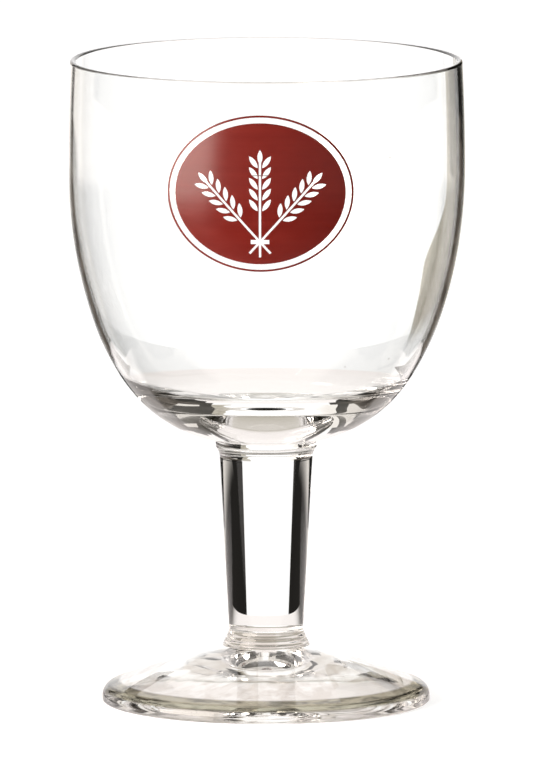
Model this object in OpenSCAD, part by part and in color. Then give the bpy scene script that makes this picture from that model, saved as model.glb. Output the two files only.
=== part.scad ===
// A footed chalice beer glass: a wide blown bowl, fused to a solid drawn stem,
// fused to a pressed conical foot. Fired enamel on the bowl: an oval medallion
// with a barley sheaf in front, and a capacity line behind.
// Millimetres, +Z up, the table at z = 0, the front of the print towards -Y.

/* [Bowl] */
// Widest outside diameter of the bowl
bowl_d = 105.8; // [90:0.2:125]
// Height of the bowl from the stem's joint to the rim
bowl_h = 103.1; // [90:0.1:120]
// How far the rim is drawn in from the widest radius
rim_inset = 0.75; // [0.3:0.05:3]
// Drop from the rim to the widest point
widest_drop = 28.8; // [20:0.2:38]
// Wall thickness from the rim down the side
wall = 1.5; // [1:0.1:3]
// Height of the short pad that the stem is fused to
pad_h = 1.4; // [0.8:0.1:3]
// Angle below horizontal where the side's arc ends
side_angle = 19.4; // [15:0.1:25]
// Angle below horizontal where the haunch's arc ends
haunch_angle = 37.9; // [32:0.1:46]
// Angle below horizontal where the bottom's arc meets the pad
bottom_angle = 80; // [72:0.5:86]
// Radius of the haunch's arc as a share of the side's
haunch_share = 0.494; // [0.35:0.002:0.7]
// Angle below horizontal where the inside leaves the wall and turns to the floor
inside_leave_angle = 33; // [28:0.5:36]
// Radius of the inside's turn into the floor
inside_corner_r = 16; // [8:0.5:20]
// Angle below horizontal where that turn runs into the floor's dish
floor_angle = 82; // [76:0.5:88]

/* [Stem] */
// Height of the stem between its two joints
stem_h = 49.3; // [30:0.1:80]
// Diameter at the bottom joint
stem_bottom_d = 19.8; // [12:0.1:26]
// Widening from the bottom joint to just under the collar, on the diameter
stem_taper = 5; // [1:0.1:9]
// Widening of the collar beyond the stem, on the radius
collar_flare = 1.1; // [0.5:0.1:3]
// Height of the collar
collar_h = 3.5; // [2:0.1:6]
// Rounding of the glass edges round both joints
joint_edge_r = 0.4; // [0.2:0.05:0.6]

/* [Foot] */
// Outside diameter of the foot
foot_d = 87.4; // [70:0.2:110]
// Thickness at the edge, where the cone's slope runs out
edge_h = 4; // [3:0.1:6]
// Rise of the cone from the edge to the boss
cone_rise = 11.1; // [7:0.1:16]
// Height of the boss that carries the stem
boss_h = 4.4; // [2:0.1:7]
// Widening of the boss towards the cone, on the radius
boss_flare = 1.8; // [0.8:0.1:4]
// Rounding of the upper edge
shoulder_r = 3.6; // [1:0.1:4]
// Rounding of the edge that meets the table
rest_edge_r = 0.8; // [0.3:0.05:1.2]
// Width of the flat ring that the glass rests on
rest_ring_w = 5; // [2:0.1:10]
// Height of the hollow under the foot
punt_h = 9; // [4:0.1:11]

/* [Enamel] */
// Thickness of the fired enamel
enamel_t = 0.12; // [0.08:0.01:0.25]
// Width of the medallion
medallion_w = 49; // [30:0.5:60]
// Height of the medallion
medallion_h = 41.6; // [26:0.2:44]
// Drop from the rim to the medallion's middle
medallion_drop = 29.5; // [27:0.1:36]
// Width of the line round the medallion
border_line = 0.55; // [0.3:0.05:1.2]
// Clear gap between that line and the field
border_gap = 1.5; // [0.8:0.1:3]
// Grains on each side of an ear
grain_rows = 5; // [4:1:8]
// Angle between neighbouring ears
ear_fan = 42; // [34:1:50]
// Drop from the rim to the capacity line
fill_drop = 37.5; // [32:0.1:60]
// Length of the capacity line
fill_w = 19.5; // [8:0.5:30]
// Height of the capacity line's stroke
fill_stroke = 0.4; // [0.2:0.05:1]

/* [Hidden] */
$fn = 240;

// Stack of heights
foot_top_z = edge_h + cone_rise + boss_h;
stem_top_z = foot_top_z + stem_h;
rim_z = stem_top_z + bowl_h;

// Shared radii: the stem's ends are the boss's top and the bowl's pad
boss_r = stem_bottom_d / 2;
stem_top_r = boss_r + stem_taper / 2;
collar_r = stem_top_r + collar_flare;
bowl_r = bowl_d / 2;
foot_r = foot_d / 2;
widest_z = bowl_h - widest_drop;
// Reach of the plane shapes that only trim others
trim_reach = bowl_d + bowl_h;

// Radius of an arc that starts along a line and ends a run further on, a rise to the side
function arc_radius(run, rise) = (run * run + rise * rise) / (2 * rise);

// Bowl outside, from the widest point down: side, haunch and bottom arcs run into each other.
// Their radii follow from the two lengths that they span together.
span_r = bowl_r - collar_r;
span_z = widest_z - pad_h;
upper_r = 1 - cos(side_angle) + haunch_share * (cos(side_angle) - cos(haunch_angle));
upper_z = sin(side_angle) + haunch_share * (sin(haunch_angle) - sin(side_angle));
lower_r = cos(haunch_angle) - cos(bottom_angle);
lower_z = sin(bottom_angle) - sin(haunch_angle);
side_arc = (span_r * lower_z - span_z * lower_r) / (upper_r * lower_z - upper_z * lower_r);
bottom_arc = (span_r - side_arc * upper_r) / lower_r;
haunch_arc = side_arc * haunch_share;
lip_arc = arc_radius(widest_drop, rim_inset);

// Centres of the outside arcs, and the heights at which they meet
side_c = [bowl_r - side_arc, widest_z];
haunch_c = side_c + (side_arc - haunch_arc) * [cos(side_angle), -sin(side_angle)];
bottom_c = haunch_c + (haunch_arc - bottom_arc) * [cos(haunch_angle), -sin(haunch_angle)];
lip_c = [bowl_r - lip_arc, widest_z];
side_end_z = side_c.y - side_arc * sin(side_angle);
haunch_end_z = haunch_c.y - haunch_arc * sin(haunch_angle);

// Inside: parallel to the lip, side and haunch, then a tight turn into a shallow dish,
// so that the bottom is thick glass
inside_side_end_z = side_c.y - (side_arc - wall) * sin(side_angle);
inside_corner_c = haunch_c
    + (haunch_arc - wall - inside_corner_r) * [cos(inside_leave_angle), -sin(inside_leave_angle)];
inside_leave_z = inside_corner_c.y - inside_corner_r * sin(inside_leave_angle);
floor_edge = inside_corner_c + inside_corner_r * [cos(floor_angle), -sin(floor_angle)];
floor_arc = floor_edge.x / cos(floor_angle);
floor_c = [0, floor_edge.y + floor_arc * sin(floor_angle)];
floor_z = floor_c.y - floor_arc;
// The turn's band reaches into both neighbours, so that no film of glass stays between them
inside_corner_low_z = (floor_edge.y + inside_corner_c.y - inside_corner_r) / 2;
rim_round_z = bowl_h - wall / 2;

// Foot: the cone's slope, and the shoulder that rounds it off
boss_foot_r = boss_r + boss_flare;
cone_z = edge_h + cone_rise;
cone_slope = atan(cone_rise / (foot_r - boss_foot_r));
shoulder_fit = (1 - sin(cone_slope)) / cos(cone_slope);
shoulder = min(shoulder_r, (edge_h - rest_edge_r) / shoulder_fit);
shoulder_c = [foot_r - shoulder, edge_h - shoulder * shoulder_fit];
punt_r = foot_r - rest_edge_r - rest_ring_w;
punt_arc = arc_radius(punt_r, punt_h);

// Medallion: the field inside its border line, and the sheaf that is left clear in it
field_w = medallion_w - 2 * (border_line + border_gap);
field_h = medallion_h - 2 * (border_line + border_gap);
medallion_z = rim_z - medallion_drop;
fill_z = rim_z - fill_drop;
// Where the three stalks are tied, and where a stalk and its ear start and end
tie_share = 0.34;
stalk_tail_share = 0.11;
ear_start_share = 0.22;
ear_end_share = 0.6;
// Widths of a stalk and of the tie, and the tie's height
stalk_share = 0.016;
tie_w_share = 0.13;
tie_h_share = 0.03;
stalk_w = field_h * stalk_share;
ear_start = field_h * ear_start_share;
ear_end = field_h * ear_end_share;
ear_step = (ear_end - ear_start) / grain_rows;
// Lean of a grain away from its stalk, and how much of its room it fills
grain_lean = 36;
grain_l_share = 1.35;
grain_w_share = 0.78;
grain_l = ear_step * grain_l_share;
grain_w = ear_step * sin(grain_lean) * grain_w_share;

// What lies right of the axis between two heights
module between(low, high) {
    translate([0, low]) square([trim_reach, high - low]);
}

// Inside of an arc between two heights, filled to the axis
module arc_band(centre, radius, low, high) {
    intersection() {
        union() {
            translate(centre) circle(radius);
            if (centre.x > 0) translate([0, low]) square([centre.x, high - low]);
        }
        between(low, high);
    }
}

// Quarter disc that rounds an outer edge, above or below its centre
module edge_above(centre, radius) {
    translate(centre) intersection() {
        circle(radius);
        square(radius);
    }
}

module edge_below(centre, radius) {
    translate(centre) intersection() {
        circle(radius);
        translate([0, -radius]) square(radius);
    }
}

// Half section of the bowl's lip and side as a full solid, grown by an allowance
module bowl_side(grow = 0) {
    arc_band(lip_c, lip_arc + grow, widest_z, rim_round_z);
    arc_band(side_c, side_arc + grow, side_end_z, widest_z);
}

// Half section of the bowl's outside as a full solid, down to the stem's joint
module bowl_outside() {
    bowl_side();
    arc_band(haunch_c, haunch_arc, haunch_end_z, side_end_z);
    arc_band(bottom_c, bottom_arc, pad_h, haunch_end_z);
    translate([0, joint_edge_r]) square([collar_r, pad_h - joint_edge_r]);
    square([collar_r - joint_edge_r, joint_edge_r]);
    edge_below([collar_r - joint_edge_r, joint_edge_r], joint_edge_r);
}

// Half section of what the bowl holds
module bowl_inside() {
    arc_band(lip_c, lip_arc - wall, widest_z, rim_round_z);
    arc_band(side_c, side_arc - wall, inside_side_end_z, widest_z);
    arc_band(haunch_c, haunch_arc - wall, inside_leave_z, inside_side_end_z + wall);
    arc_band(inside_corner_c, inside_corner_r, inside_corner_low_z, inside_corner_c.y);
    arc_band(floor_c, floor_arc, floor_z, floor_edge.y);
}

// Half disc that rounds the rim over, as wide as the wall
module rim_round() {
    rise = rim_round_z - widest_z;
    outer_x = lip_c.x + sqrt(lip_arc * lip_arc - rise * rise);
    inner_x = lip_c.x + sqrt((lip_arc - wall) * (lip_arc - wall) - rise * rise);
    intersection() {
        translate([(outer_x + inner_x) / 2, rim_round_z]) circle((outer_x - inner_x) / 2);
        between(rim_round_z, bowl_h);
    }
}

// Half section of the stem: a taper that flares into the collar
module stem_section() {
    waist_z = stem_h - collar_h;
    lip_z = stem_h - joint_edge_r;
    flare = arc_radius(lip_z - waist_z, collar_flare);
    square([boss_r - joint_edge_r, joint_edge_r]);
    edge_below([boss_r - joint_edge_r, joint_edge_r], joint_edge_r);
    polygon([[0, joint_edge_r], [boss_r, joint_edge_r], [stem_top_r, waist_z], [0, waist_z]]);
    difference() {
        translate([0, waist_z]) square([collar_r, lip_z - waist_z]);
        translate([stem_top_r + flare, waist_z]) circle(flare);
    }
    translate([0, lip_z]) square([collar_r - joint_edge_r, joint_edge_r]);
    edge_above([collar_r - joint_edge_r, lip_z], joint_edge_r);
}

// Half section of the foot as a full solid: edge, cone and boss
module foot_outside() {
    shoulder_end = shoulder_c + shoulder * [sin(cone_slope), cos(cone_slope)];
    boss_lip_z = foot_top_z - joint_edge_r;
    polygon([
        [0, 0],
        [foot_r - rest_edge_r, 0],
        [foot_r - rest_edge_r, rest_edge_r],
        [foot_r, rest_edge_r],
        [foot_r, shoulder_c.y],
        shoulder_c,
        shoulder_end,
        [boss_foot_r, cone_z],
        [boss_r, boss_lip_z],
        [boss_r - joint_edge_r, boss_lip_z],
        [boss_r - joint_edge_r, foot_top_z],
        [0, foot_top_z],
    ]);
    edge_below([foot_r - rest_edge_r, rest_edge_r], rest_edge_r);
    edge_above([boss_r - joint_edge_r, boss_lip_z], joint_edge_r);
    intersection() {
        translate(shoulder_c) circle(shoulder);
        polygon([
            shoulder_c,
            shoulder_c + [shoulder, 0],
            shoulder_c + [shoulder, shoulder],
            shoulder_c + [shoulder * tan(cone_slope), shoulder],
        ]);
    }
}

// The hollow under the foot
module foot_punt() {
    intersection() {
        translate([0, punt_h - punt_arc]) circle(punt_arc);
        between(0, punt_h);
    }
}

// Enamel all round the lip and side, to be trimmed to a print
module enamel_skin() {
    translate([0, 0, stem_top_z]) rotate_extrude() difference() {
        bowl_side(enamel_t);
        bowl_side();
    }
}

// A flat design on the front, or behind with a half turn, as enamel on the bowl
module printed(height_z, turn) {
    intersection() {
        enamel_skin();
        rotate([0, 0, turn]) translate([0, 0, height_z]) rotate([90, 0, 0])
            linear_extrude(trim_reach) children();
    }
}

module oval(width, height) {
    scale([width / height, 1]) circle(d = height);
}

// A pointed grain, standing on its lower tip
module grain() {
    round_r = arc_radius(grain_l / 2, grain_w / 2);
    translate([0, grain_l / 2]) intersection() {
        translate([grain_w / 2 - round_r, 0]) circle(round_r);
        translate([round_r - grain_w / 2, 0]) circle(round_r);
    }
}

// One stalk with its ear, measured from the tie; it ends in the middle of its top grain
module ear() {
    tail = field_h * stalk_tail_share;
    translate([-stalk_w / 2, -tail]) square([stalk_w, ear_end + tail]);
    translate([0, ear_end - grain_l / 2]) grain();
    for (row = [0 : grain_rows - 1], side = [-1, 1])
        translate([side * stalk_w, ear_start + row * ear_step]) rotate(-side * grain_lean) grain();
}

// Three ears tied in a sheaf
module sheaf() {
    tie = field_h * [tie_w_share, tie_h_share];
    translate([0, -field_h * tie_share]) {
        for (turn = [-1 : 1]) rotate(turn * ear_fan) ear();
        square(tie, center = true);
    }
}

module bowl() {
    color([0.86, 0.9, 0.9, 0.4]) translate([0, 0, stem_top_z]) rotate_extrude() {
        difference() {
            bowl_outside();
            bowl_inside();
        }
        rim_round();
    }
}

module stem() {
    color([0.8, 0.86, 0.86, 0.5]) translate([0, 0, foot_top_z]) rotate_extrude() stem_section();
}

module foot() {
    color([0.84, 0.88, 0.88, 0.5]) rotate_extrude() difference() {
        foot_outside();
        foot_punt();
    }
}

module medallion_border() {
    color([0.45, 0.1, 0.06]) printed(medallion_z, 0) difference() {
        oval(medallion_w, medallion_h);
        oval(medallion_w - 2 * border_line, medallion_h - 2 * border_line);
    }
}

module medallion_field() {
    color([0.45, 0.1, 0.06]) printed(medallion_z, 0) difference() {
        oval(field_w, field_h);
        sheaf();
    }
}

module capacity_line() {
    color([0.93, 0.92, 0.9]) printed(fill_z, 180) square([fill_w, fill_stroke], center = true);
}

bowl();
stem();
foot();
medallion_border();
medallion_field();
capacity_line();
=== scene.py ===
# %% [markdown]
# # A chalice beer glass
# A footed goblet for serving beer: a wide blown bowl, a solid drawn stem and a pressed conical foot,
# fused into one run of glass, with a fired enamel print on the bowl. Almost all that one sees of clear
# glass is its surroundings, bent through it. So this lesson spends its effort on three things: true
# sections for the glass, joints that light passes as if they were not there, and a small studio whose
# bright and dark parts draw the edges.

# %% Load the frame
import bpy
import numpy as np
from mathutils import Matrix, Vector


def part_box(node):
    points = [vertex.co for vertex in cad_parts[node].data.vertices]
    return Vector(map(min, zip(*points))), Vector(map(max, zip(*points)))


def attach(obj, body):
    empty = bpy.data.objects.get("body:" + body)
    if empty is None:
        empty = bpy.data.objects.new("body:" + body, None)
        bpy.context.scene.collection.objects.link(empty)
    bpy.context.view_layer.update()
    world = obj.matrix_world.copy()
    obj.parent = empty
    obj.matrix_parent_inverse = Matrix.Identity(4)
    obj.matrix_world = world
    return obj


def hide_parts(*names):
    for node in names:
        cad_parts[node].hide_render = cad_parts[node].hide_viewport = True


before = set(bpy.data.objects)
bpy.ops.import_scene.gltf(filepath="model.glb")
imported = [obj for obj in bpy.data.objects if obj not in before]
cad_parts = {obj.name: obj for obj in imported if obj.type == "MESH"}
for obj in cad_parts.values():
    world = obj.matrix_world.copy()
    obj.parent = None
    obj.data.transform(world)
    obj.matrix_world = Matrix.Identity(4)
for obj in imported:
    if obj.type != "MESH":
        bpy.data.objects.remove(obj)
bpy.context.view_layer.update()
print("frame:", sorted(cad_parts))

# %% [markdown]
# ## Sizes
# The frame gives the places where the three glass pieces meet and their outer radii. The other sizes
# are those of the glass's section: wall, haunches, collar and foot edge, in millimetres and degrees.

# %% Sizes of the glass
mm = 0.001
rim_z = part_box("bowl")[1].z
bowl_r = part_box("bowl")[1].x
stem_top_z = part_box("stem")[1].z
collar_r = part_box("stem")[1].x
foot_top_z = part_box("foot")[1].z
foot_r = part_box("foot")[1].x

rim_inset, widest_drop, wall = 0.75 * mm, 28.8 * mm, 1.5 * mm
pad_h, joint_edge_r = 1.4 * mm, 0.4 * mm
side_angle, haunch_angle, bottom_angle = 19.4, 37.9, 80
haunch_share = 0.494
inside_leave_angle, inside_corner_r, floor_angle = 33, 16 * mm, 82
collar_flare, collar_h, stem_bottom_r = 1.1 * mm, 3.5 * mm, 9.9 * mm
edge_h, boss_h, boss_flare = 4 * mm, 4.4 * mm, 1.8 * mm
shoulder_r, rest_edge_r, rest_ring_w, punt_h = 3.6 * mm, 0.8 * mm, 5 * mm, 9 * mm
print("glass:", round(rim_z / mm, 1), "mm high,", round(2 * bowl_r / mm, 1), "mm across")

# %% [markdown]
# ## Sections
# Blown and pressed glass is made in turned moulds, so each piece is a half section carried round the
# axis. A Screw modifier on a curve would do it too, but refraction shows every flat facet: here each
# run of the section, a straight line or an arc, also brings its exact normals, and the mesh keeps them.
# A run's points go along it with the glass on the left, so the way out of the glass is on the right.

# %% Runs of a section


def line(start, stop, step=1.2 * mm):
    """Evenly spaced points from start to stop; the normal is a quarter turn right of the direction."""
    start, stop = np.asarray(start, float), np.asarray(stop, float)
    length = np.linalg.norm(stop - start)
    share = np.linspace(0, 1, max(2, int(length / step) + 1))[:, None]
    along = (stop - start) / length
    normal = np.array([along[1], -along[0]])
    return np.hstack([start + share * (stop - start), np.tile(normal, (len(share), 1))])


def arc(centre, radius, start, stop, step=1.2 * mm):
    """Points centre + radius * (cos, sin) between two angles in degrees; normals lie along the radius,
    outwards where the arc turns left and inwards where it turns right."""
    count = max(9, int(radius * abs(np.radians(stop - start)) / step) + 1)
    angle = np.radians(np.linspace(start, stop, count))
    way = np.stack([np.cos(angle), np.sin(angle)], 1)
    return np.hstack([np.asarray(centre) + radius * way, np.sign(stop - start) * way])


def down(angle):
    """Unit vector that points outwards and an angle below horizontal, in degrees."""
    return np.array([np.cos(np.radians(angle)), -np.sin(np.radians(angle))])


def arc_radius(run, rise):
    """Radius of an arc that starts along a line and ends a run further on, a rise to the side."""
    return (run * run + rise * rise) / (2 * rise)


def lifted(runs, height):
    """The same section, a height further up."""
    return [(points + np.array([0, height, 0, 0]), index) for points, index in runs]


print("a run of 10 mm:", len(line((0, 0), (10 * mm, 0))), "points")

# %% [markdown]
# ## Turning a section
# The grid's two parameters are the place along the section and the turn about the axis. Both ends of
# the section lie on the axis, where the grid closes in one point, so every piece is a closed solid.

# %% Turn a section into a piece
turn_steps = 240


def turned(name, runs, ripple=None):
    """A closed solid of revolution: the point (r, z) of each run goes to (r cos t, r sin t, z).
    runs are (points and normals, material index); ripple may move the points and tilt the normals."""
    ring = np.vstack([runs[0][0][:1, :2]] + [points[1:, :2] for points, _ in runs])
    first = np.vstack([points[:-1, 2:] for points, _ in runs])
    last = np.vstack([points[1:, 2:] for points, _ in runs])
    material = np.concatenate([np.full(len(points) - 1, index) for points, index in runs])
    turn = np.arange(turn_steps) * 2 * np.pi / turn_steps
    around = np.stack([np.cos(turn), np.sin(turn)], 1)

    inner = ring[1:-1]
    body = np.concatenate(
        [
            inner[:, None, :1] * around[None],
            np.broadcast_to(inner[:, None, 1:], (len(inner), turn_steps, 1)),
        ],
        2,
    )
    ends = np.array([[0, 0, ring[0, 1]], [0, 0, ring[-1, 1]]])
    index = 2 + np.arange(len(inner) * turn_steps).reshape(len(inner), turn_steps)
    after = np.roll(index, -1, 1)
    quads = np.stack([index[:-1], after[:-1], after[1:], index[1:]], 2).reshape(-1, 4)
    start_fan = np.stack([np.zeros(turn_steps, int), after[0], index[0]], 1)
    end_fan = np.stack([index[-1], after[-1], np.ones(turn_steps, int)], 1)

    def swept(normal):
        """Each section normal (nr, nz) turned to every angle: (nr cos t, nr sin t, nz)."""
        flat = normal[:, None, :1] * around[None]
        return np.concatenate([flat, np.broadcast_to(normal[:, None, 1:], flat.shape[:2] + (1,))], 2)

    low, high = swept(first), swept(last)
    low_after, high_after = np.roll(low, -1, 1), np.roll(high, -1, 1)
    quad_normals = np.stack([low, low_after, high_after, high], 2)[1:-1].reshape(-1, 3)
    start_normals = np.stack([low[0], high_after[0], high[0]], 1).reshape(-1, 3)
    end_normals = np.stack([low[-1], low_after[-1], high[-1]], 1).reshape(-1, 3)

    vertices = np.vstack([ends, body.reshape(-1, 3)])
    normals = np.vstack([start_normals, quad_normals, end_normals])
    faces = start_fan.tolist() + quads.tolist() + end_fan.tolist()
    if ripple:
        vertices, normals = ripple(vertices, normals, np.concatenate([np.ravel(f) for f in faces]))

    mesh = bpy.data.meshes.new(name)
    mesh.from_pydata(vertices.tolist(), [], faces)
    mesh.polygons.foreach_set("material_index", np.repeat(material, turn_steps))
    mesh.polygons.foreach_set("use_smooth", np.ones(len(faces), bool))
    mesh.normals_split_custom_set(normals.tolist())
    piece = bpy.data.objects.new(name, mesh)
    bpy.context.scene.collection.objects.link(piece)
    print("made", name, "with", len(faces), "faces")
    return piece


glass_face, seam_face = 0, 1
print("a turn has", turn_steps, "steps")

# %% [markdown]
# ## Bowl
# The outside is four arcs that run into each other: a slow lip above the widest point, then side,
# haunch and bottom, down to the short pad that meets the stem. Their radii follow from the height and
# width that they span together. The inside runs parallel to the wall and then closes higher up, so
# the bottom is thick: that lens of glass makes the stacked bright and grey ovals above the stem.

# %% Bowl section
widest_z = rim_z - stem_top_z - widest_drop
span_r, span_z = bowl_r - collar_r, widest_z - pad_h
side_way, haunch_way, bottom_way = map(down, (side_angle, haunch_angle, bottom_angle))
upper = np.array([1, 0]) - side_way + haunch_share * (side_way - haunch_way)
lower = haunch_way - bottom_way
side_arc, bottom_arc = np.linalg.solve(np.stack([upper, lower], 1), [span_r, span_z])
haunch_arc = side_arc * haunch_share
lip_arc = arc_radius(widest_drop, rim_inset)
side_c = np.array([bowl_r - side_arc, widest_z])
haunch_c = side_c + (side_arc - haunch_arc) * side_way
bottom_c = haunch_c + (haunch_arc - bottom_arc) * haunch_way
lip_c = np.array([bowl_r - lip_arc, widest_z])

inside_corner_c = haunch_c + (haunch_arc - wall - inside_corner_r) * down(inside_leave_angle)
floor_edge = inside_corner_c + inside_corner_r * down(floor_angle)
floor_arc = floor_edge[0] / down(floor_angle)[0]
floor_c = np.array([0, floor_edge[1] - floor_arc * down(floor_angle)[1]])

rim_round_z = rim_z - stem_top_z - wall / 2
lip_end = np.degrees(np.arcsin((rim_round_z - widest_z) / lip_arc))
rim_c = lip_c + (lip_arc - wall / 2) * down(-lip_end)
edge_c = np.array([collar_r - joint_edge_r, joint_edge_r])
bowl_runs = [
    (line((0, 0), (edge_c[0], 0)), seam_face),
    (arc(edge_c, joint_edge_r, -90, 0), glass_face),
    (line((collar_r, joint_edge_r), (collar_r, pad_h)), glass_face),
    (arc(bottom_c, bottom_arc, -bottom_angle, -haunch_angle), glass_face),
    (arc(haunch_c, haunch_arc, -haunch_angle, -side_angle), glass_face),
    (arc(side_c, side_arc, -side_angle, 0), glass_face),
    (arc(lip_c, lip_arc, 0, lip_end), glass_face),
    (arc(rim_c, wall / 2, lip_end, lip_end + 180), glass_face),
    (arc(lip_c, lip_arc - wall, lip_end, 0), glass_face),
    (arc(side_c, side_arc - wall, 0, -side_angle), glass_face),
    (arc(haunch_c, haunch_arc - wall, -side_angle, -inside_leave_angle), glass_face),
    (arc(inside_corner_c, inside_corner_r, -inside_leave_angle, -floor_angle), glass_face),
    (arc(floor_c, floor_arc, -floor_angle, -90), glass_face),
]
bowl = turned("bowl_glass", lifted(bowl_runs, stem_top_z))
outside_arcs, inside_arcs = (lip_arc, side_arc, haunch_arc, bottom_arc), (inside_corner_r, floor_arc)
print("arcs outside:", [round(v / mm, 1) for v in outside_arcs])
print("arcs at the inside's bottom:", [round(v / mm, 1) for v in inside_arcs])

# %% [markdown]
# ## Stem
# A solid drawn rod, wider at the top, that flares into a collar under the bowl. Its two end faces are
# fused to the bowl's pad and the foot's boss. A cone primitive would do for the rod alone. As a section
# it also gets the collar's hollow curve, and exact normals, which matter most in a piece that is a lens.

# %% Stem section
stem_h = stem_top_z - foot_top_z
stem_top_r = collar_r - collar_flare
waist_z, collar_lip_z = stem_h - collar_h, stem_h - joint_edge_r
flare_arc = arc_radius(collar_lip_z - waist_z, collar_flare)
flare_angle = np.degrees(np.arcsin((collar_lip_z - waist_z) / flare_arc))
stem_runs = [
    (line((0, 0), (stem_bottom_r - joint_edge_r, 0)), seam_face),
    (arc((stem_bottom_r - joint_edge_r, joint_edge_r), joint_edge_r, -90, 0), glass_face),
    (line((stem_bottom_r, joint_edge_r), (stem_top_r, waist_z)), glass_face),
    (arc((stem_top_r + flare_arc, waist_z), flare_arc, 180, 180 - flare_angle), glass_face),
    (arc((collar_r - joint_edge_r, collar_lip_z), joint_edge_r, 0, 90), glass_face),
    (line((collar_r - joint_edge_r, stem_h), (0, stem_h)), seam_face),
]
stem = turned("stem_glass", lifted(stem_runs, foot_top_z))

# %% [markdown]
# ## Foot
# A low cone with a rounded edge, a shallow hollow underneath and a boss on top, on which the tool has
# left three shallow rings. The rings could be a bump texture, but they also break the boss's outline, so
# they are in the section.

# %% Foot section
boss_foot_r, cone_z = stem_bottom_r + boss_flare, foot_top_z - boss_h
cone_slope = np.arctan2(cone_z - edge_h, foot_r - boss_foot_r)
shoulder_fit = (1 - np.sin(cone_slope)) / np.cos(cone_slope)
shoulder = min(shoulder_r, (edge_h - rest_edge_r) / shoulder_fit)
shoulder_c = np.array([foot_r - shoulder, edge_h - shoulder * shoulder_fit])
shoulder_end = shoulder_c + shoulder * np.array([np.sin(cone_slope), np.cos(cone_slope)])
punt_r = foot_r - rest_edge_r - rest_ring_w
punt_arc = arc_radius(punt_r, punt_h)
punt_end = np.degrees(np.arccos(punt_r / punt_arc))
boss_lip_z = foot_top_z - joint_edge_r
fine, finer, finest = 0.6 * mm, 0.3 * mm, 0.12 * mm
ring_count, ring_depth = 3, 0.05 * mm


def ringed(points, count, height):
    """A straight run with shallow rings: each point goes in along its normal by
    height * (1 - cos(2 pi count share)) / 2."""
    share = np.linspace(0, 1, len(points))[:, None]
    length = np.linalg.norm(points[-1, :2] - points[0, :2])
    along = (points[-1, :2] - points[0, :2]) / length
    depth = height * (1 - np.cos(2 * np.pi * count * share)) / 2
    slope = height * np.pi * count / length * np.sin(2 * np.pi * count * share)
    normals = points[:, 2:] + slope * along
    normals /= np.linalg.norm(normals, axis=1, keepdims=True)
    return np.hstack([points[:, :2] - depth * points[:, 2:], normals])


boss_side = line((boss_foot_r, cone_z), (stem_bottom_r, boss_lip_z), finest)
foot_runs = [
    (arc((0, punt_h - punt_arc), punt_arc, 90, punt_end, fine), glass_face),
    (line((punt_r, 0), (foot_r - rest_edge_r, 0)), glass_face),
    (arc((foot_r - rest_edge_r, rest_edge_r), rest_edge_r, -90, 0), glass_face),
    (line((foot_r, rest_edge_r), (foot_r, shoulder_c[1])), glass_face),
    (arc(shoulder_c, shoulder, 0, 90 - np.degrees(cone_slope), finer), glass_face),
    (line(shoulder_end, (boss_foot_r, cone_z), fine), glass_face),
    (ringed(boss_side, ring_count, ring_depth), glass_face),
    (arc((stem_bottom_r - joint_edge_r, boss_lip_z), joint_edge_r, 0, 90), glass_face),
    (line((stem_bottom_r - joint_edge_r, foot_top_z), (0, foot_top_z)), seam_face),
]

# %% [markdown]
# ## Waves in the foot's hollow
# A pressed underside is never quite even. Its slow waves turn the reflections inside the foot into pale
# marbled swirls. A bump texture could tilt the light as well, but real waves also show from below. They
# are a formula of the place, so their slopes give the normals too.

# %% Waves of the foot's underside
wave_share, wave_base, crown_r = 0.0008, 56, 12 * mm
wave_rows = ((0.3, 17, 0.4), (1.4, 13, 2.0), (2.2, 10.5, 4.4), (2.9, 8.5, 1.1), (0.9, 7, 5.2))


def waves(x, y):
    """Height of the underside's waves: crossing sines in bent coordinates, one for each row of a bearing,
    a length in millimetres and a phase. They fade out at the rest ring and at the smooth crown of the
    hollow, in which the stem is mirrored."""
    bent_x = x + 5 * mm * np.sin(y * 190 + 0.6)
    bent_y = y + 4 * mm * np.sin(x * 230 + 2.1)
    height = np.zeros_like(x)
    for turn, length, phase in wave_rows:
        along = bent_x * np.cos(turn) + bent_y * np.sin(turn)
        height += length * np.sin(2 * np.pi * along / (length * mm) + phase)
    radius = np.hypot(x, y)
    fade = np.clip(1 - (radius / punt_r) ** 2, 0, 1) * np.clip((radius - crown_r) / crown_r, 0, 1) ** 2
    return wave_share * mm * fade * (height + wave_base)


def pressed_underside(vertices, normals, corners):
    """Lifts the hollow's points by the waves, and tilts its normals (a, b, -1) by their slopes."""
    step = 0.05 * mm
    under = (np.hypot(vertices[:, 0], vertices[:, 1]) < punt_r) & (vertices[:, 2] < punt_h + step)
    x, y = vertices[:, 0], vertices[:, 1]
    slope_x = (waves(x + step, y) - waves(x - step, y)) / (2 * step)
    slope_y = (waves(x, y + step) - waves(x, y - step)) / (2 * step)
    moved = vertices.copy()
    moved[under, 2] += waves(x[under], y[under])
    tilted = normals.copy()
    at = under[corners] & (normals[:, 2] < 0)
    tilted[at] /= -tilted[at, 2:]
    tilted[at, 0] += slope_x[corners][at]
    tilted[at, 1] += slope_y[corners][at]
    return moved, tilted / np.linalg.norm(tilted, axis=1, keepdims=True)


foot = turned("foot_glass", foot_runs, pressed_underside)
spots = np.linspace(0, punt_r, 50)
print("waves up to", round(max(waves(spots, 0 * spots)) / mm, 3), "mm along one radius")

# %% [markdown]
# ## Writing shaders as sums
# A material is a small graph of nodes. To keep it readable, a Wire stands for a node's output, and a
# sum on wires adds the Math nodes by itself. Every other node comes from one method.

# %% Wires and graphs


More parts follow.
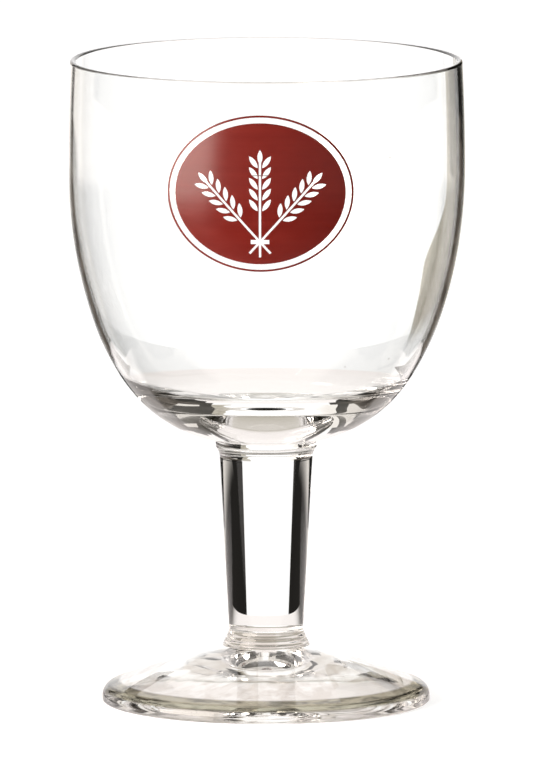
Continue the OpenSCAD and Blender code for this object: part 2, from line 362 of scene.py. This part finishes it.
class Wire:
    """A node's output. Sums on wires and numbers add Math nodes to the same tree."""

    def __init__(self, graph, socket):
        self.graph, self.socket = graph, socket

    def math(self, operation, first, second):
        return self.graph.node("ShaderNodeMath", {"operation": operation}, {0: first, 1: second})

    def __add__(self, other):
        return self.math("ADD", self, other)

    def __radd__(self, other):
        return self.math("ADD", other, self)

    def __sub__(self, other):
        return self.math("SUBTRACT", self, other)

    def __rsub__(self, other):
        return self.math("SUBTRACT", other, self)

    def __mul__(self, other):
        return self.math("MULTIPLY", self, other)

    def __rmul__(self, other):
        return self.math("MULTIPLY", other, self)


class Graph:
    """The node tree of a material or of the world."""

    def __init__(self, owner):
        owner.use_nodes = True
        self.tree = owner.node_tree
        self.tree.nodes.clear()

    def node(self, kind, settings=None, inputs=None, output=0):
        """A node of this kind, its settings set first, then its sockets' values or wires."""
        made = self.tree.nodes.new(kind)
        for name, value in (settings or {}).items():
            setattr(made, name, value)
        for name, value in (inputs or {}).items():
            if isinstance(value, Wire):
                self.tree.links.new(value.socket, made.inputs[name])
            else:
                made.inputs[name].default_value = value
        return Wire(self, made.outputs[output]) if made.outputs else None

    def place(self, stretch=(1, 1, 1)):
        """Object coordinates, each stretched by the inverse of its factor."""
        spot = self.node("ShaderNodeTexCoord", output="Object")
        return self.node("ShaderNodeMapping", {}, {"Vector": spot, "Scale": stretch})

    def axes(self, letters):
        """The parts of the Object coordinates along the named axes."""
        spot = self.node("ShaderNodeTexCoord", output="Object")
        return [self.node("ShaderNodeSeparateXYZ", {}, {0: spot}, letter) for letter in letters]

    def radius(self):
        """Distance from the glass's axis."""
        flat = self.place((1, 1, 0))
        return self.node("ShaderNodeVectorMath", {"operation": "LENGTH"}, {0: flat}, "Value")

    def seen(self):
        """1 where light runs to the camera, straight or by way of the glass, and 0 elsewhere."""
        kinds = ("Is Camera Ray", "Is Glossy Ray", "Is Transmission Ray")
        return sum(self.node("ShaderNodeLightPath", output=kind) for kind in kinds)

    def noise(self, scale, detail=2.0, stretch=(1, 1, 1), twist=0.0):
        """Values about 0.5 from a noise in Object coordinates."""
        return self.node(
            "ShaderNodeTexNoise",
            {},
            {"Vector": self.place(stretch), "Scale": scale, "Detail": detail, "Distortion": twist},
        )

    def ramp(self, value, low, high):
        """0 below low, 1 above high, and a smooth rise between."""
        return self.node(
            "ShaderNodeMapRange",
            {"interpolation_type": "SMOOTHSTEP"},
            {"Value": value, "From Min": low, "From Max": high},
        )

    def mix(self, share, first, second):
        """A colour between two colours or wires."""
        ends = [colour if isinstance(colour, Wire) else (*colour, 1) for colour in (first, second)]
        return self.node(
            "ShaderNodeMix", {"data_type": "RGBA"}, {"Factor": share, 6: ends[0], 7: ends[1]}, 2
        )


# %% [markdown]
# ## Glass
# Soda-lime glass bends light by 1.52 and is faintly green. A fire-polished face has no scratches, but
# it has slow waves, fine specks of dust and a film from drying. The pressed foot also has flow lines,
# tinted darker in swirls that paint the marbled shade seen through it, and its outer edge is olive green,
# because light that enters there runs a long way inside. Light doesn't notice a fused joint, so the two
# faces of each joint get a material that is fully see-through.

# %% Glass materials
glass_ior, film_roughness = 1.52, 0.012
speck_tint = (0.3, 0.27, 0.23)
edge_r, edge_z = (foot_r - 5.2 * mm, foot_r - 4.2 * mm), (2.6 * mm, 3.4 * mm)


def clear_glass(name, clear, deep, wave, flow_shade=None, edge=None):
    """Glass between two near-white tints, with slow waves as bump heights in metres. The optional tint of
    its flow lines is darker, and its swirls paint marbled shade; edge is the tint of the light that
    enters at the foot's outer edge."""
    material = bpy.data.materials.new(name)
    graph = Graph(material)
    film = graph.noise(18, 3)
    swell = graph.noise(55, 1, (1, 1, 0.45))
    specks = graph.node("ShaderNodeTexVoronoi", {}, {"Vector": graph.place(), "Scale": 90}, "Distance")
    tint = graph.mix(graph.ramp(specks, 0.014, 0.03), speck_tint, graph.mix(film, clear, deep))
    if flow_shade:
        # Painted shade: darker swirls along the flow lines stand for the marbled light and shade under
        # the foot.
        flow = graph.noise(45, 2, (1, 1, 0.5), 3.0)
        tint = graph.mix(graph.ramp(flow, 0.44, 0.56), tint, flow_shade)
    if edge:
        (height,) = graph.axes("Z")
        band = graph.ramp(graph.radius(), *edge_r) * graph.ramp(height, *edge_z)
        entering = 1 - graph.node("ShaderNodeNewGeometry", output="Backfacing")
        streaks = graph.ramp(graph.noise(160, 2, (1, 1, 9)), 0.35, 0.6)
        tint = graph.mix(band * entering, tint, graph.mix(streaks, edge, [5 * v for v in edge]))
    bump = graph.node("ShaderNodeBump", {}, {"Strength": 1.0, "Distance": wave, "Height": swell})
    surface = graph.node(
        "ShaderNodeBsdfPrincipled",
        {},
        {
            "Base Color": tint,
            "Roughness": film * film_roughness,
            "IOR": glass_ior,
            "Transmission Weight": 1.0,
            "Normal": bump,
        },
    )
    graph.node("ShaderNodeOutputMaterial", {}, {"Surface": surface})
    return material


def see_through(name):
    """A face that light passes as if it were not there."""
    material = bpy.data.materials.new(name)
    graph = Graph(material)
    surface = graph.node("ShaderNodeBsdfPrincipled", {}, {"Alpha": 0.0})
    graph.node("ShaderNodeOutputMaterial", {}, {"Surface": surface})
    return material


fused_seam = see_through("fused_seam")
blown = clear_glass("blown_glass_clear", (0.985, 0.99, 0.988), (0.975, 0.983, 0.978), 0.01 * mm)
drawn = clear_glass("drawn_glass_clear", (0.975, 0.985, 0.98), (0.965, 0.977, 0.97), 0.004 * mm)
pressed = clear_glass(
    "pressed_glass_clear",
    (0.93, 0.935, 0.925),
    (0.9, 0.905, 0.89),
    0.03 * mm,
    flow_shade=(0.76, 0.735, 0.7),
    edge=(0.045, 0.041, 0.026),
)
for piece, material in ((bowl, blown), (stem, drawn), (foot, pressed)):
    piece.data.materials.append(material)
    piece.data.materials.append(fused_seam)
    print(piece.name, "is of", material.name, "with", len(material.node_tree.nodes), "nodes")

# %% [markdown]
# ## Enamel
# The print is ceramic colour, pressed through a screen in thin strokes and then fired. It lies on the
# wall as a gloss film. The screen leaves fine level lines, and firing leaves the colour a bit cloudy.
# The CAD's own film already follows the wall, so it keeps its mesh and only gets a better material.

# %% Enamel materials
enamel_ior, screen_wave = 1.5, 0.02 * mm


def fired_enamel(name, dark, light, roughness, cover=1.0):
    """A gloss film between two colours, with the level lines of the screen as shallow waves."""
    material = bpy.data.materials.new(name)
    graph = Graph(material)
    cloud = graph.noise(140, 4, (1, 1, 3))
    lines = graph.noise(900, 1, (0.03, 0.03, 1))
    bump = graph.node("ShaderNodeBump", {}, {"Strength": 0.6, "Distance": screen_wave, "Height": lines})
    surface = graph.node(
        "ShaderNodeBsdfPrincipled",
        {},
        {
            "Base Color": graph.mix(cloud * 0.6 + lines * 0.4, dark, light),
            "Roughness": roughness + cloud * 0.1,
            "IOR": enamel_ior,
            "Alpha": cover,
            "Normal": bump,
        },
    )
    graph.node("ShaderNodeOutputMaterial", {}, {"Surface": surface})
    return material


maroon = fired_enamel("maroon_enamel_fired", (0.13, 0.006, 0.003), (0.2, 0.014, 0.008), 0.18)
pale = fired_enamel("pale_enamel_fired", (0.7, 0.69, 0.66), (0.86, 0.85, 0.82), 0.25, 0.4)
enamels = {"medallion_border": maroon, "medallion_field": maroon, "capacity_line": pale}
for node, material in enamels.items():
    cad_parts[node].data.materials[0] = material
    print(node, "is of", material.name)

# %% [markdown]
# ## Camera
# Glass is photographed from far off with a long lens, so that its near and far sides keep their
# proportions. The distance is chosen first. The focal length then follows from the photograph's scale,
# which is what one pixel covers at the glass.

# %% Camera
photo_h, mm_per_pixel = 758, 0.266 * mm
aim = Vector((0.0001, 0, 86.3 * mm))
camera_azimuth, camera_elevation, camera_distance = 1.76, 7.65, 5.0


def towards(azimuth, elevation):
    """Unit vector from the glass to a place, by its bearing from the front to the right and its height,
    both in degrees."""
    turn, lift = np.radians(azimuth), np.radians(elevation)
    return Vector((np.sin(turn) * np.cos(lift), -np.cos(turn) * np.cos(lift), np.sin(lift)))


def pointed(thing, target, way, distance):
    """Sets a camera or a lamp at a distance from its target, and points it there."""
    thing.location = target + way * distance
    thing.rotation_mode = "QUATERNION"
    thing.rotation_quaternion = (-way).to_track_quat("-Z", "Y")
    bpy.context.scene.collection.objects.link(thing)


lens = bpy.data.cameras.new("camera")
lens.sensor_width = 36
lens.lens = lens.sensor_width * camera_distance / (photo_h * mm_per_pixel)
lens.clip_end = 20
camera = bpy.data.objects.new("camera", lens)
pointed(camera, aim, towards(camera_azimuth, camera_elevation), camera_distance)
bpy.context.scene.camera = camera
print("camera:", [round(v, 3) for v in camera.location], "lens", round(lens.lens), "mm")

# %% [markdown]
# ## Turntable
# To show a glass from all sides, a photographer turns it in front of a studio that stays as it is. Here
# the camera goes round the glass, so the studio has to follow. All of it hangs on an empty object, and a
# Locked Track constraint keeps the empty turned to the camera about the upright axis.

# %% Turntable and sheets
turntable = bpy.data.objects.new("turntable", None)
bpy.context.scene.collection.objects.link(turntable)
follow = turntable.constraints.new("LOCKED_TRACK")
follow.target = camera
follow.track_axis, follow.lock_axis = "TRACK_NEGATIVE_Y", "LOCK_Z"


def sheet(name, path, across, ray_kinds, material):
    """A surface from a path carried along a straight way: point + share * across, share from 0 to 1.
    Only the named kinds of rays meet it."""
    path, across = np.asarray(path, float), np.asarray(across, float)
    points = np.stack([path, path + across], 1).reshape(-1, 3)
    index = np.arange(len(points)).reshape(-1, 2)
    faces = np.stack([index[:-1, 0], index[1:, 0], index[1:, 1], index[:-1, 1]], 1)
    mesh = bpy.data.meshes.new(name)
    mesh.from_pydata(points.tolist(), [], faces.tolist())
    mesh.materials.append(material)
    made = bpy.data.objects.new(name, mesh)
    made.parent = turntable
    bpy.context.scene.collection.objects.link(made)
    for kind in ("camera", "diffuse", "glossy", "transmission", "shadow"):
        setattr(made, "visible_" + kind, kind in ray_kinds)
    return made


seen_rays, glass_rays = ("camera", "diffuse", "shadow"), ("glossy", "transmission")
print(turntable.name, "follows the", follow.target.name)

# %% [markdown]
# ## Paper
# White paper lies under the glass and bends up behind it, so that no edge shows. It takes the glass's
# shadow, and it glows a little, which makes it white without more light on the glass.

# %% Paper
paper_half, paper_front, paper_end, paper_top, paper_bend = 0.5, -0.6, 1.7, 1.1, 0.25
paper_white, paper_glow = (0.94, 0.94, 0.94), 0.6


def lit(name, colour, glow):
    """A plain surface that also glows a little towards the camera."""
    material = bpy.data.materials.new(name)
    graph = Graph(material)
    matt = graph.node("ShaderNodeBsdfDiffuse", {}, {"Color": (*colour, 1)})
    light = graph.node("ShaderNodeEmission", {}, {"Color": (*colour, 1), "Strength": graph.seen() * glow})
    both = graph.node("ShaderNodeAddShader", {}, {0: matt, 1: light})
    graph.node("ShaderNodeOutputMaterial", {}, {"Surface": both})
    return material


bend = np.radians(np.linspace(-90, 0, 16))
bend_y = paper_end - paper_bend + paper_bend * np.cos(bend)
bend_z = paper_bend + paper_bend * np.sin(bend)
sweep_path = np.vstack(
    [
        [[-paper_half, paper_front, 0]],
        np.stack([np.full(len(bend), -paper_half), bend_y, bend_z], 1),
        [[-paper_half, paper_end, paper_top]],
    ]
)
white_paper = lit("white_paper", paper_white, paper_glow)
paper = sheet("paper", sweep_path, (2 * paper_half, 0, 0), seen_rays, white_paper)
print("paper:", len(paper.data.polygons), "faces")

# %% [markdown]
# ## What the glass sees
# With white paper all around, clear glass would be blank. Its edges are drawn by dark things that it
# bends into view: black cards at both sides, which photographers call flags, and the dark room beyond.
# So rays that pass the glass don't meet the paper but a second set: a table with a painted sheen, a white
# panel behind it, flags, black curtains beside the panel, and a beige room. Each sheet glows in its own
# colour, so no lamp has to light it. An image of a real studio would do too, but sheets can be moved one
# by one.

# %% Colours of the studio
# The front ceiling glows in the walls' beige at about seven tenths of its strength: painted shade.
soot, wall_beige, ceiling_shade = (0.012, 0.011, 0.01), (0.85, 0.79, 0.73), (0.6, 0.56, 0.52)


def glowing(name, colour, strength=1.0):
    """A surface that glows in a colour, which is plain or a function that works it out in the graph."""
    material = bpy.data.materials.new(name)
    graph = Graph(material)
    shade = colour(graph) if callable(colour) else (*colour, 1)
    light = graph.node("ShaderNodeEmission", {}, {"Color": shade, "Strength": strength})
    graph.node("ShaderNodeOutputMaterial", {}, {"Surface": light})
    return material


def table_colour(graph):
    """A pale table with a painted sheen: near the glass it is brown where one looks down on it and pale
    where one looks along it, as if it mirrored the panel. It is dark in a strip to each side of the glass
    and in its far corners."""
    # Painted sheen: Layer Weight makes the table pale where it is seen at a slant near the glass, in
    # place of the panel's reflection.
    facing = graph.node("ShaderNodeLayerWeight", {}, {"Blend": 0.5}, "Facing")
    brown = (1 - graph.ramp(graph.radius(), 0.07, 0.105)) * (1 - graph.ramp(facing, 0.25, 0.5))
    across, along = graph.axes("XY")
    corners = graph.ramp(across * across, 0.025, 0.11) * graph.ramp(along, -0.05, 0.05)
    strips = graph.ramp(across * across, 0.0026, 0.0036) * (1 - graph.ramp(along * along, 0.003, 0.006))
    dark = corners + strips * (1 - corners)
    sheen_table = graph.mix(dark, (1.08, 1.01, 0.98), (0.1, 0.09, 0.08))
    return graph.mix(brown, sheen_table, (0.5, 0.46, 0.39))


def panel_colour(graph):
    """White, with painted shade that fades it to cream at the left, and a greyish strip at the right,
    both above the stem's view. The strip's edge runs further inwards low down."""
    across, height = graph.axes("XZ")
    high = graph.ramp(height, 0.045, 0.06)
    # Painted shade: the panel's glow falls off to cream towards its left edge.
    fade = graph.ramp(across * -1, 0.07, 0.13) * high
    inwards = (1 - graph.ramp(height, 0.078, 0.102)) * 0.0165
    strip = graph.ramp(across + inwards, 0.0755, 0.0765) * high
    streaks = graph.ramp(graph.noise(60, 2, (1, 1, 0.5)), 0.35, 0.65)
    faded = graph.mix(fade, (1, 0.985, 0.98), (0.76, 0.715, 0.67))
    return graph.mix(strip, faded, graph.mix(streaks, (0.32, 0.29, 0.24), (0.42, 0.385, 0.32)))


def flag_colour(graph):
    """Streaky dark brown cloth, black along its lower edge."""
    (height,) = graph.axes("Z")
    streaks = graph.ramp(graph.noise(60, 2, (1, 1, 2)), 0.35, 0.65)
    brown = graph.mix(streaks, (0.06, 0.05, 0.042), (0.17, 0.145, 0.122))
    return graph.mix(graph.ramp(height, 0.059, 0.062), soot, brown)


def floor_colour(graph):
    """Black round the table, and as pale as the walls far off."""
    return graph.mix(graph.ramp(graph.radius(), 0.9, 1.3), soot, wall_beige)


# The panel's low part is a dimmer copy of the same panel: painted shade.
white, shaded_panel = glowing("white_panel", panel_colour, 1.35), glowing("panel_shaded_low", panel_colour, 1.13)
sheen_table, dark = glowing("table_painted_sheen", table_colour), glowing("dark_floor", floor_colour)
cloth, black = glowing("flag_cloth", flag_colour), glowing("black_cloth", soot)
beige, shaded_ceiling = glowing("beige_wall", wall_beige), glowing("ceiling_painted_shade", ceiling_shade)
glows = (white, shaded_panel, sheen_table, dark, cloth, black, beige, shaded_ceiling)
print("glowing:", [material.name for material in glows])

# %% [markdown]
# ## Setting up the sheets
# Level sheets are the table, the floor and the ceilings. Upright ones stand in the plane where the table
# ends. The flags and the walls are bent round the glass. The flags are cut low beside the panel and high
# at the sides, so that they darken the bowl's thick bottom and leave its clear wall alone.

# %% Sheets that only the glass sees
table_half, table_front, table_end, table_z = 0.34, -0.3, 0.268, -0.0003
room_r, room_h, floor_z, wall_z = 2.1, 1.8, -0.002, -0.05
panel_left, panel_low_left, panel_right, panel_step, panel_top = -0.15, -0.128, 0.103, 0.055, 0.46
curtain_left, curtain_right, curtain_low_right, curtain_step, curtain_top = -0.19, 0.34, 0.135, 0.095, 0.3
flag_r, flag_left_start, flag_right_start, flag_stop = 0.12, -23.5, 20, 100
flag_foot = [(20, 0.041), (27, 0.047), (34, 0.06), (55, 0.06), (62, 0.041)]
flag_top = [(20, 0.062), (30, 0.07), (38, 0.11), (50, 0.15), (60, 0.14), (72, 0.08)]
wall_foot, wall_top = [(0, wall_z)], [(0, room_h)]
bend_steps = 48


def level(name, half, front, end, height, material):
    """A level sheet, equally far to both sides, from its front to its end."""
    path = [(-half, front, height), (-half, end, height)]
    return sheet(name, path, (2 * half, 0, 0), glass_rays, material)


def upright(name, left, right, low, high, material):
    """An upright sheet at the table's end, from left to right and from low to high."""
    path = [(left, table_end, low), (right, table_end, low)]
    return sheet(name, path, (0, 0, high - low), glass_rays, material)


def bent(name, radius, start, stop, low, high, material):
    """An upright sheet bent round the glass: (r sin t, r cos t) from one bearing to another, 0 behind it.
    low and high are pairs of a bearing without sign and the height there."""
    bearing = np.linspace(start, stop, bend_steps)
    angle = np.radians(bearing)
    foot_z, top_z = (np.interp(abs(bearing), *zip(*pairs)) for pairs in (low, high))
    path = np.stack([radius * np.sin(angle), radius * np.cos(angle), foot_z], 1)
    rise = np.stack([np.zeros(bend_steps), np.zeros(bend_steps), top_z - foot_z], 1)
    return sheet(name, path, rise, glass_rays, material)


studio = [
    level("table", table_half, table_front, table_end, table_z, sheen_table),
    level("dark_floor", room_r, -room_r, room_r, floor_z, dark),
    upright("panel_low", panel_low_left, panel_right, table_z, panel_step, shaded_panel),
    upright("panel_high", panel_left, panel_right, panel_step, panel_top, white),
    bent("flag_left", flag_r, flag_left_start, -flag_stop, flag_foot, flag_top, cloth),
    bent("flag_right", flag_r, flag_right_start, flag_stop, flag_foot, flag_top, cloth),
    upright("curtain_left", curtain_left, panel_left, panel_step, curtain_top, black),
    upright("curtain_right", panel_right, curtain_right, curtain_step, curtain_top, black),
    upright("curtain_right_low", panel_right, curtain_low_right, panel_step, curtain_step, black),
    bent("wall", room_r, -60, 60, wall_foot, wall_top, beige),
    bent("front_of_room", room_r, 60, 300, wall_foot, wall_top, black),
    level("ceiling_behind", room_r, 0, room_r, room_h, beige),
    level("ceiling_front", room_r, -room_r, 0, room_h, shaded_ceiling),
]
print("sheets:", [made.name for made in studio])

# %% [markdown]
# ## Light
# One large round softbox stands at the front left, low and close, and gives the enamel its soft shine.
# The world adds a plain fill. Light crosses many faces of glass on its way, so it may bounce more often
# than Blender allows by default.

# %% Lights and world
box_azimuth, box_elevation, box_distance, box_aim = -54, 8, 0.9, Vector((0, 0, 0.14))
fill = 0.45

softbox = bpy.data.objects.new("softbox", bpy.data.lights.new("softbox", "AREA"))
softbox.data.shape = "DISK"
softbox.data.size = 0.9
softbox.data.energy = 14
softbox.data.color = (1.0, 0.9, 0.82)
pointed(softbox, box_aim, towards(box_azimuth, box_elevation), box_distance)
softbox.parent = turntable

world = bpy.data.worlds.new("studio")
bpy.context.scene.world = world
graph = Graph(world)
strength = fill + graph.seen() * (1 - fill)
sky = graph.node("ShaderNodeBackground", {}, {"Color": (1, 1, 1, 1), "Strength": strength})
graph.node("ShaderNodeOutputWorld", {}, {"Surface": sky})
bpy.context.scene.view_settings.view_transform = "Standard"
light_paths = bpy.context.scene.cycles
light_paths.max_bounces, light_paths.transmission_bounces, light_paths.glossy_bounces = 24, 24, 16
print("softbox:", softbox.data.energy, "W at", [round(v, 2) for v in softbox.location], "fill", fill)

# %% [markdown]
# ## Joining the frame
# The three glass pieces stand for their CAD solids: each hangs on the root body, and its CAD solid is
# hidden. The enamel is the CAD's own.

# %% Join the frame
for piece, node, slot in (
    (bowl, "bowl", "blown_glass"),
    (stem, "stem", "drawn_glass"),
    (foot, "foot", "pressed_glass"),
):
    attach(piece, "root")
    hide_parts(node)
